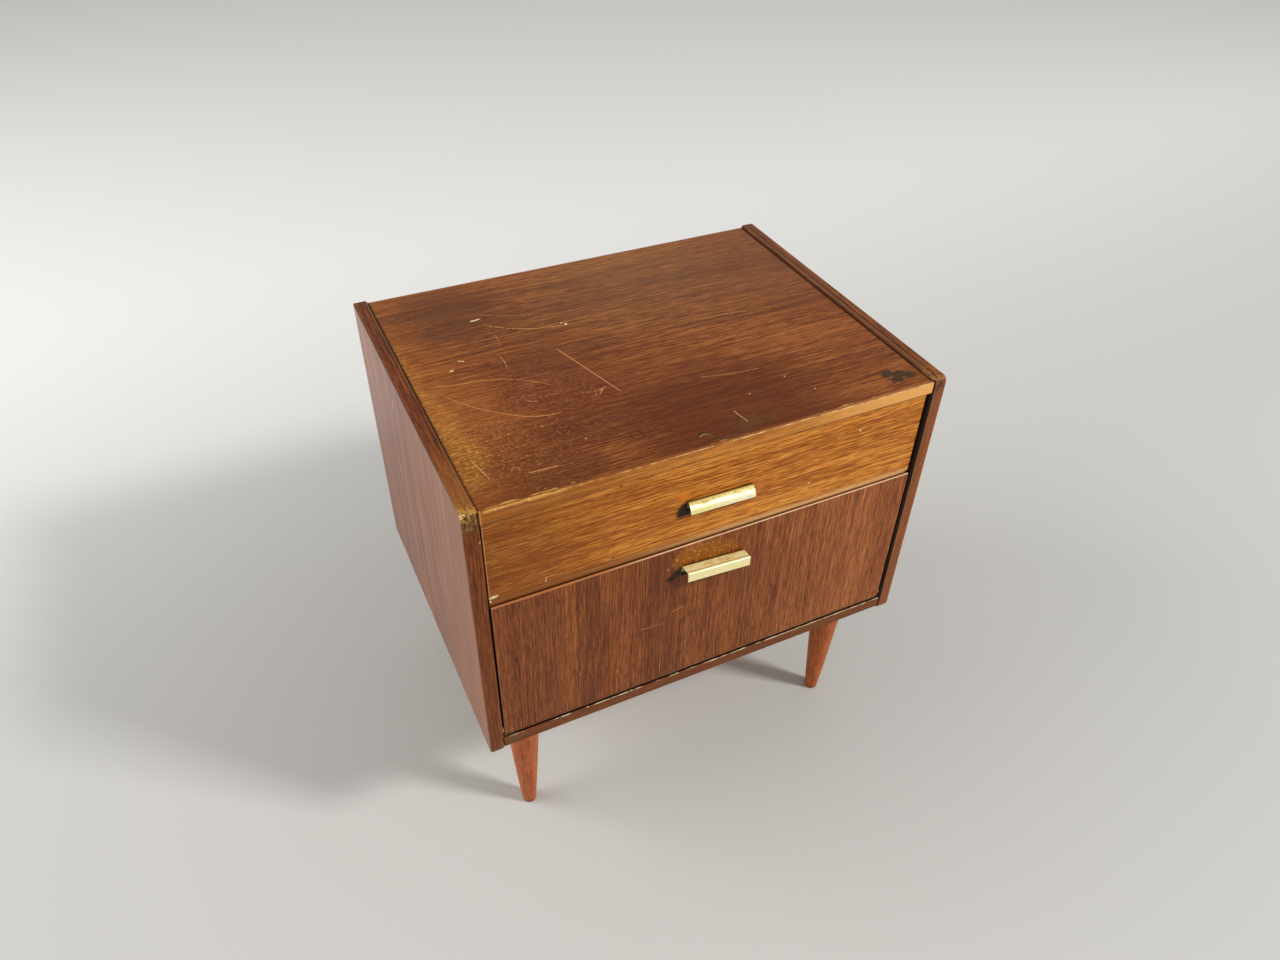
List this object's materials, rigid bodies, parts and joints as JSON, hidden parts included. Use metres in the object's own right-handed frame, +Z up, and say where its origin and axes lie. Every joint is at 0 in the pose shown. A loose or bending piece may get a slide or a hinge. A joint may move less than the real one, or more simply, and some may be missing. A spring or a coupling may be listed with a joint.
{
  "type": "nightstand",
  "caption": "Nightstand with a sliding drawer above a drop-front flap compartment, folded metal pulls and turned tapered legs.",
  "frame": {"origin": "on the floor, under the centre of the box that holds the closed cabinet and its pulls", "axes": "+X to the right seen from the front, +Y to the back, +Z up"},
  "size_m": [0.53, 0.4146, 0.54],
  "materials": {
    "side_veneer": "satin lacquered teak-coloured veneer, upright grain",
    "top_veneer": "satin lacquered veneer, grain from side to side, worn and scratched",
    "drawer_veneer": "satin lacquered golden veneer, grain from side to side",
    "flap_veneer": "satin lacquered red-brown veneer, upright grain",
    "dark_lipping": "dark stained solid lipping, worn on its arrises",
    "light_lipping": "golden-brown solid lipping",
    "inner_board": "plain inner veneer, thin matt lacquer",
    "hardboard": "smooth brown hardboard",
    "beech": "pale solid beech, unlacquered",
    "stained_beech": "orange-brown stained turned beech, satin",
    "pull_brass": "pale folded brass sheet with a worn, spotted patina",
    "brass": "plain brass",
    "steel": "bright zinc-plated steel",
    "catch_plastic": "dark brown moulded plastic"
  },
  "bodies": {
    "carcass": {"side_panel_left": "side_veneer", "side_panel_right": "side_veneer", "side_front_lipping_left": "dark_lipping", "side_front_lipping_right": "dark_lipping", "side_top_lipping_left": "dark_lipping", "side_top_lipping_right": "dark_lipping", "top_board": "top_veneer", "top_board_lipping": "light_lipping", "bottom_board": "inner_board", "bottom_board_lipping": "dark_lipping", "shelf": "inner_board", "back_panel": "hardboard", "dowels": "beech", "leg_front_left": "stained_beech", "leg_front_right": "stained_beech", "leg_rear_left": "stained_beech", "leg_rear_right": "stained_beech", "leg_studs": "steel", "leg_nuts": "steel", "drawer_runner_left": "beech", "drawer_runner_right": "beech", "runner_screws": "steel", "drawer_stops": "beech", "flap_bushes": "brass", "stay_wall_pin": "steel", "catch_case": "catch_plastic", "catch_poles": "steel", "catch_screws": "steel"},
    "drawer": {"drawer_front": "drawer_veneer", "drawer_front_lipping": "light_lipping", "drawer_side_left": "beech", "drawer_side_right": "beech", "drawer_back": "beech", "drawer_bottom": "hardboard", "drawer_pull": "pull_brass", "drawer_pull_screws": "brass"},
    "flap": {"flap": "flap_veneer", "flap_pivot_pins": "steel", "flap_pull": "pull_brass", "flap_pull_screws": "brass", "stay_bracket": "brass", "stay_bracket_screws": "steel", "stay_rivet": "steel", "catch_strike": "steel", "catch_strike_screws": "steel"},
    "stay": {"stay_arm": "brass"}
  },
  "joints": [
    {"name": "drawer_slide", "type": "slide", "parent": "carcass", "child": "drawer", "axis": [0, -1, 0], "range_m": [0, 0.25]},
    {"name": "flap_hinge", "type": "hinge", "parent": "carcass", "child": "flap", "pos_m": [0, -0.18444, 0.219], "axis": [1, 0, 0], "range_deg": [0, 90]},
    {"name": "stay_swing", "type": "hinge", "parent": "flap", "child": "stay", "pos_m": [0.2404, -0.16544, 0.327], "axis": [1, 0, 0], "range_deg": [-45, 0]}
  ],
  "couplings": [
    {"joint": "stay_swing", "follows": "flap_hinge", "ratio": -0.5}
  ]
}
